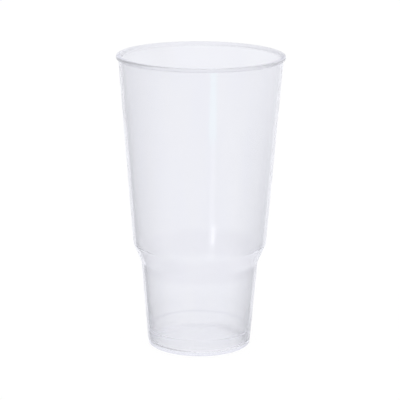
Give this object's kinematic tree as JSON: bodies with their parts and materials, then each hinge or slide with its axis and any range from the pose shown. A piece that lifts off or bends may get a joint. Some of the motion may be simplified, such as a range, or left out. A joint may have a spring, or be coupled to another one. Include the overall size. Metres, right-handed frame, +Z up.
{
  "type": "plastic cup",
  "caption": "Tall translucent plastic drinking cup: a tapered bowl with a beaded lip steps in at a sloping shoulder to a narrower hand grip on a flat foot.",
  "frame": {"origin": "centre of the foot ring's underside, on the surface that the cup stands on", "axes": "+Z up along the cup's axis, towards the mouth; the cup is turned about it, so +X and +Y are free"},
  "size_m": [0.11, 0.11, 0.194],
  "materials": {
    "clear_plastic": "translucent moulded polypropylene, glossy with a faint haze and a cool tint"
  },
  "bodies": {
    "root": {"foot_ring": "clear_plastic", "floor": "clear_plastic", "heel": "clear_plastic", "grip_wall": "clear_plastic", "shoulder": "clear_plastic", "bowl_wall": "clear_plastic", "rim_lip": "clear_plastic"}
  },
  "joints": []
}
